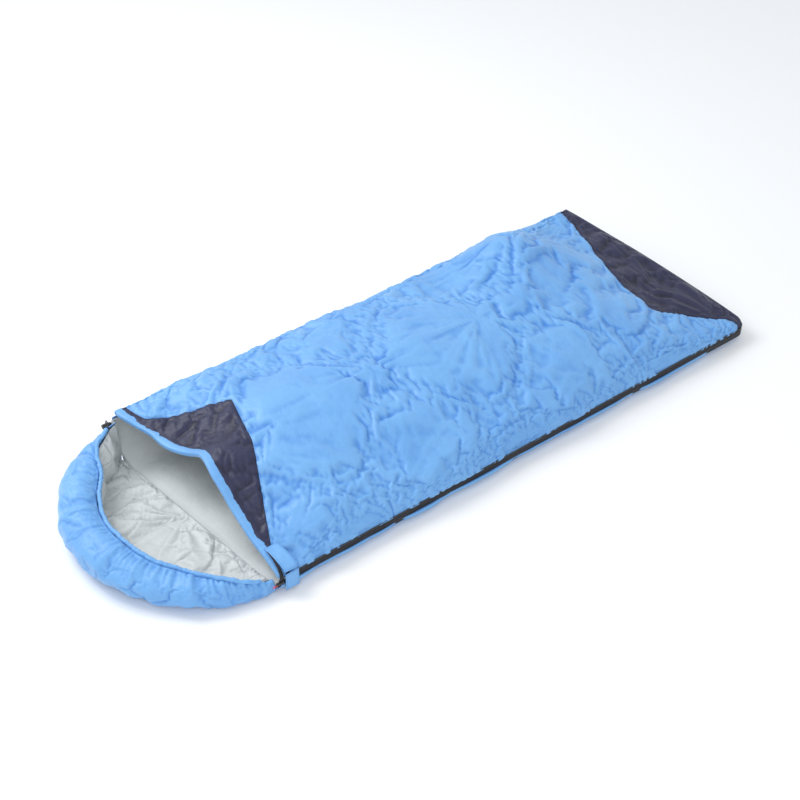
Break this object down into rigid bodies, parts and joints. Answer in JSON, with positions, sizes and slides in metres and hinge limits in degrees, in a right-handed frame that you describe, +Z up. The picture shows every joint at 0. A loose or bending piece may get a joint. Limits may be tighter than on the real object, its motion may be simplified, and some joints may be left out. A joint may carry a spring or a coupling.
{
  "type": "rectangular sleeping bag",
  "caption": "Rectangular quilted sleeping bag with a hood, side and foot zip, drawcord with cord lock, and a top quilt that opens about its folded side.",
  "frame": {"origin": "centre of the bag's footprint, on the surface it lies on", "axes": "+X from the hood to the foot, +Y from the zip side to the folded side, +Z up"},
  "size_m": [2.2038, 0.7565, 0.2948],
  "materials": {
    "blue_shell": "semi-gloss woven polyester, creased",
    "navy_panel": "semi-gloss woven polyester",
    "grey_lining": "soft satin polyester",
    "wadding": "matt hollow fibre",
    "zip_tape": "matt woven tape",
    "zip_coil": "satin nylon",
    "slider_metal": "black enamel",
    "red_grip": "matt moulded",
    "black_plastic": "satin moulded",
    "cord": "braided",
    "spring_steel": "bright wire",
    "hook_loop": "hook and loop tape"
  },
  "bodies": {
    "bag_base": {"bottom_shell": "blue_shell", "bottom_fill": "wadding", "bottom_lining": "grey_lining", "hood_shell": "blue_shell", "hood_base_fill": "wadding", "hood_rim_fill": "wadding", "hood_lining": "grey_lining", "hood_channel": "blue_shell", "hood_drawcord": "cord", "drawcord_eyelet": "slider_metal", "drawcord_tail": "cord", "drawcord_knot": "cord", "lower_zip_tape": "zip_tape", "lower_zip_coil": "zip_coil", "lower_head_stop": "slider_metal", "zip_box": "black_plastic", "tab_loop_patch": "hook_loop"},
    "top_quilt": {"top_main_panel": "blue_shell", "top_yoke_panel": "navy_panel", "top_foot_panel": "navy_panel", "neck_binding": "blue_shell", "top_fill": "wadding", "top_lining": "grey_lining", "upper_zip_tape": "zip_tape", "upper_zip_coil": "zip_coil", "tab_base": "blue_shell"},
    "tab_flap": {"tab_strap": "blue_shell", "tab_hook_patch": "hook_loop"},
    "head_slider": {"head_slider_body": "slider_metal"},
    "head_pull": {"head_pull_tab": "slider_metal", "head_pull_grip": "red_grip"},
    "foot_slider": {"foot_slider_body": "slider_metal"},
    "foot_pull": {"foot_pull_tab": "slider_metal"},
    "cord_lock": {"lock_barrel": "black_plastic", "lock_spring": "spring_steel"},
    "lock_button": {"lock_plunger": "black_plastic"}
  },
  "joints": [
    {"name": "top_open", "type": "hinge", "parent": "bag_base", "child": "top_quilt", "pos_m": [0, 0.38, 0.167], "axis": [-1, 0, 0], "range_deg": [0, 180]},
    {"name": "tab_peel", "type": "hinge", "parent": "top_quilt", "child": "tab_flap", "pos_m": [-0.6975, -0.3774, 0.069], "axis": [-1, 0, 0], "range_deg": [0, 150]},
    {"name": "head_zip", "type": "slide", "parent": "bag_base", "child": "head_slider", "axis": [1, 0, 0], "range_m": [0, 1.7]},
    {"name": "head_pull_swing", "type": "hinge", "parent": "head_slider", "child": "head_pull", "pos_m": [-0.722, -0.3713, 0.036], "axis": [0, 0, 1], "range_deg": [0, 85]},
    {"name": "foot_zip", "type": "slide", "parent": "bag_base", "child": "foot_slider", "axis": [0.1554, -0.9724, -0.174], "range_m": [0, 0.6]},
    {"name": "foot_pull_swing", "type": "hinge", "parent": "foot_slider", "child": "foot_pull", "pos_m": [1.00482, 0.30684, 0.15626], "axis": [0.0275, -0.1718, 0.9847], "range_deg": [0, 150]},
    {"name": "cord_lock_slide", "type": "slide", "parent": "bag_base", "child": "cord_lock", "axis": [0, 0, -1], "range_m": [0, 0.06]},
    {"name": "lock_press", "type": "slide", "parent": "cord_lock", "child": "lock_button", "axis": [-1, 0, 0], "range_m": [0, 0.004], "stiffness_N_per_m": 400, "springref_m": -0.002, "deforming": ["lock_spring"]}
  ]
}
